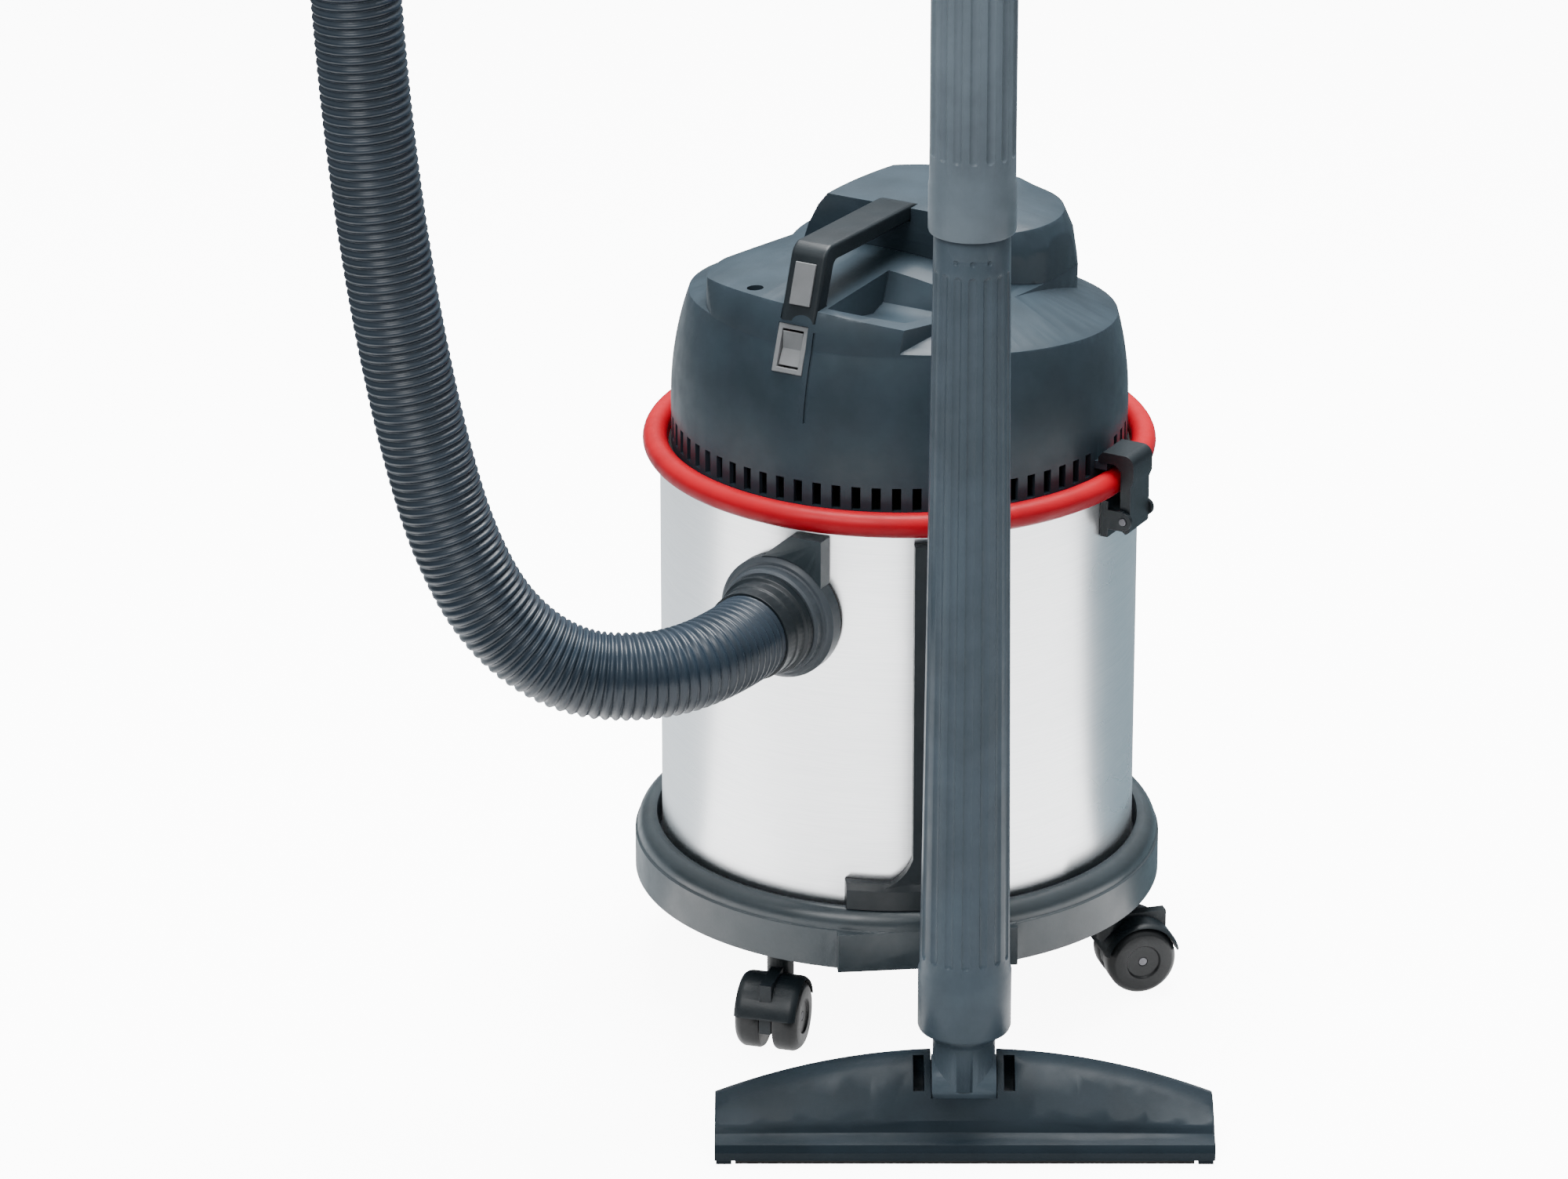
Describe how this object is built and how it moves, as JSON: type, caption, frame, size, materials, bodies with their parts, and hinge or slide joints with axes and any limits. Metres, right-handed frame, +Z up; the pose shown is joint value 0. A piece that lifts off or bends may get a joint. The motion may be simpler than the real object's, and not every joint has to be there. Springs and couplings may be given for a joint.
{
  "type": "shop vacuum",
  "caption": "Shop vacuum with a steel container on a caster trolley, dark motor head with carry handle, corrugated hose, upright wand and floor nozzle.",
  "frame": {"origin": "on the floor, under the container's axis", "axes": "+Z up, the wand and nozzle stand on the -Y side, the head and inlet face 29 degrees to the left of -Y"},
  "size_m": [0.6441, 0.5075, 1.5537],
  "materials": {
    "base_plastic": "matte moulded",
    "black_plastic": "matte moulded",
    "caster_plastic": "semi-gloss",
    "head_plastic": "fine grained satin",
    "grey_plastic": "satin",
    "light_grey_plastic": "satin",
    "tube_plastic": "satin",
    "nozzle_plastic": "satin",
    "hose_plastic": "satin",
    "red_plastic": "gloss",
    "steel": "satin brushed",
    "fastener": "bright",
    "rubber": "matte",
    "aluminium": "satin",
    "iron": "laminated",
    "copper": "wound wire",
    "paper": "pleated paper"
  },
  "bodies": {
    "canister": {"trolley_base": "base_plastic", "base_screws": "fastener", "tool_rail": "black_plastic", "container": "steel", "bumper_ring": "red_plastic", "head_gasket": "rubber", "inlet_flange": "grey_plastic", "inlet_gasket": "rubber", "inlet_deflector": "grey_plastic", "inlet_bracket": "base_plastic", "hose_cuff_canister": "black_plastic", "latch_mount_right": "black_plastic", "latch_mount_left": "black_plastic", "latch_pins": "fastener", "dome_cover": "head_plastic", "motor_cap": "head_plastic", "carry_handle": "black_plastic", "handle_grip": "light_grey_plastic", "switch_bezel": "light_grey_plastic", "cord_gland": "rubber", "motor_pan": "black_plastic", "head_screws": "fastener", "motor_case": "grey_plastic", "motor_stator": "iron", "bearings": "fastener", "fan_housing": "aluminium", "float_cage": "black_plastic", "filter_cartridge": "paper", "filter_knob": "black_plastic"},
    "wand": {"hose": "hose_plastic", "hose_cuff_wand": "black_plastic", "lower_tube": "tube_plastic", "upper_tube": "tube_plastic", "hand_tube": "tube_plastic", "nozzle_neck": "tube_plastic"},
    "latch_right": {"latch_right": "black_plastic"},
    "latch_left": {"latch_left": "black_plastic"},
    "rocker": {"switch_rocker": "light_grey_plastic"},
    "rotor": {"armature": "copper", "motor_shaft": "fastener", "cooling_fan": "black_plastic", "impeller": "aluminium"},
    "float": {"float": "light_grey_plastic"},
    "regulator": {"regulator_collar": "black_plastic"},
    "nozzle": {"nozzle_body": "nozzle_plastic", "nozzle_pivot_pin": "fastener", "sole_plate": "fastener", "squeegee_strips": "rubber"},
    "swivel_1": {"caster_fork_1": "black_plastic", "caster_axle_1": "fastener"},
    "wheels_1": {"caster_wheels_1": "caster_plastic"},
    "swivel_2": {"caster_fork_2": "black_plastic", "caster_axle_2": "fastener"},
    "wheels_2": {"caster_wheels_2": "caster_plastic"},
    "swivel_3": {"caster_fork_3": "black_plastic", "caster_axle_3": "fastener"},
    "wheels_3": {"caster_wheels_3": "caster_plastic"},
    "swivel_4": {"caster_fork_4": "black_plastic", "caster_axle_4": "fastener"},
    "wheels_4": {"caster_wheels_4": "caster_plastic"}
  },
  "joints": [
    {"name": "caster_swivel_1", "type": "hinge", "parent": "canister", "child": "swivel_1", "pos_m": [-0.07932, -0.132, 0.06], "axis": [0, 0, 1], "continuous": true},
    {"name": "wheels_spin_1", "type": "hinge", "parent": "swivel_1", "child": "wheels_1", "pos_m": [-0.08397, -0.14939, 0.024], "axis": [0.9659, -0.2588, 0], "continuous": true},
    {"name": "caster_swivel_2", "type": "hinge", "parent": "canister", "child": "swivel_2", "pos_m": [0.14377, -0.05519, 0.06], "axis": [0, 0, 1], "continuous": true},
    {"name": "wheels_spin_2", "type": "hinge", "parent": "swivel_2", "child": "wheels_2", "pos_m": [0.16116, -0.05053, 0.024], "axis": [-0.2588, 0.9659, 0], "continuous": true},
    {"name": "caster_swivel_3", "type": "hinge", "parent": "canister", "child": "swivel_3", "pos_m": [0.07932, 0.132, 0.06], "axis": [0, 0, 1], "continuous": true},
    {"name": "wheels_spin_3", "type": "hinge", "parent": "swivel_3", "child": "wheels_3", "pos_m": [0.08244, 0.14973, 0.024], "axis": [-0.9848, 0.1736, 0], "continuous": true},
    {"name": "caster_swivel_4", "type": "hinge", "parent": "canister", "child": "swivel_4", "pos_m": [-0.14377, 0.05519, 0.06], "axis": [0, 0, 1], "continuous": true},
    {"name": "wheels_spin_4", "type": "hinge", "parent": "swivel_4", "child": "wheels_4", "pos_m": [-0.12686, 0.04903, 0.024], "axis": [0.342, 0.9397, 0], "continuous": true},
    {"name": "latch_right_swing", "type": "hinge", "parent": "canister", "child": "latch_right", "pos_m": [0.15393, -0.08533, 0.357], "axis": [0.4848, 0.8746, 0], "range_deg": [0, 75]},
    {"name": "latch_left_swing", "type": "hinge", "parent": "canister", "child": "latch_left", "pos_m": [-0.12445, 0.12445, 0.357], "axis": [-0.7071, -0.7071, 0], "range_deg": [0, 75]},
    {"name": "rocker_tip", "type": "hinge", "parent": "canister", "child": "rocker", "pos_m": [-0.07125, -0.11617, 0.48414], "axis": [0.8746, -0.4848, 0], "range_deg": [-12, 0]},
    {"name": "rotor_spin", "type": "hinge", "parent": "canister", "child": "rotor", "pos_m": [0, 0, 0.43], "axis": [0, 0, 1], "continuous": true},
    {"name": "float_lift", "type": "slide", "parent": "canister", "child": "float", "axis": [0, 0, 1], "range_m": [0, 0.034]},
    {"name": "wand_lift", "type": "slide", "parent": "canister", "child": "wand", "axis": [0, 0, 1], "range_m": [0, 0.1]},
    {"name": "nozzle_tip", "type": "hinge", "parent": "wand", "child": "nozzle", "pos_m": [0.04, -0.275, 0.032], "axis": [1, 0, 0], "range_deg": [0, 60]},
    {"name": "regulator_turn", "type": "hinge", "parent": "wand", "child": "regulator", "pos_m": [0.04, -0.275, 1.226], "axis": [0, 0, 1], "range_deg": [0, 45]}
  ]
}
